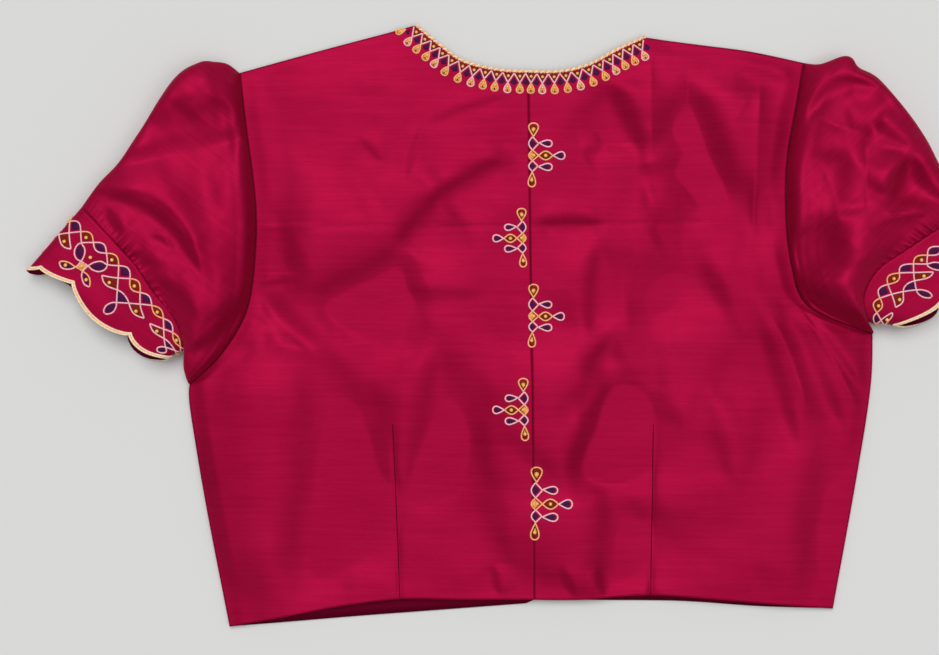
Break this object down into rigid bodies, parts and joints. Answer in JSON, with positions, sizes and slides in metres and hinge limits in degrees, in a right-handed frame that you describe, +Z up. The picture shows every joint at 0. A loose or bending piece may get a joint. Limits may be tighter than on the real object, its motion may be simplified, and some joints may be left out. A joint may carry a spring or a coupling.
{
  "type": "choli blouse",
  "caption": "Short fitted silk blouse laid flat, back up: hooked centre back, waist darts, puffed sleeves in scalloped embroidered bands, piped neck.",
  "frame": {"origin": "middle of the whole blouse in plan, on the surface that it lies on", "axes": "+X to the right as seen from above with the neck away, +Y towards the neck, +Z up from the surface"},
  "size_m": [0.6784, 0.4093, 0.0302],
  "materials": {
    "silk": "raspberry silk with a soft sheen",
    "band": "raspberry silk under looped thread embroidery",
    "cord": "cream and gold cord",
    "placket": "dark raspberry lining silk"
  },
  "bodies": {
    "root": {"back_left": "silk", "back_right": "silk", "back_underlap": "placket", "front": "silk", "sleeve_left": "silk", "sleeve_right": "silk", "sleeve_band_left": "band", "sleeve_band_right": "band", "band_cord_left": "cord", "band_cord_right": "cord", "neck_piping_left": "cord", "neck_piping_right": "cord", "neck_piping_front": "cord"}
  },
  "joints": []
}
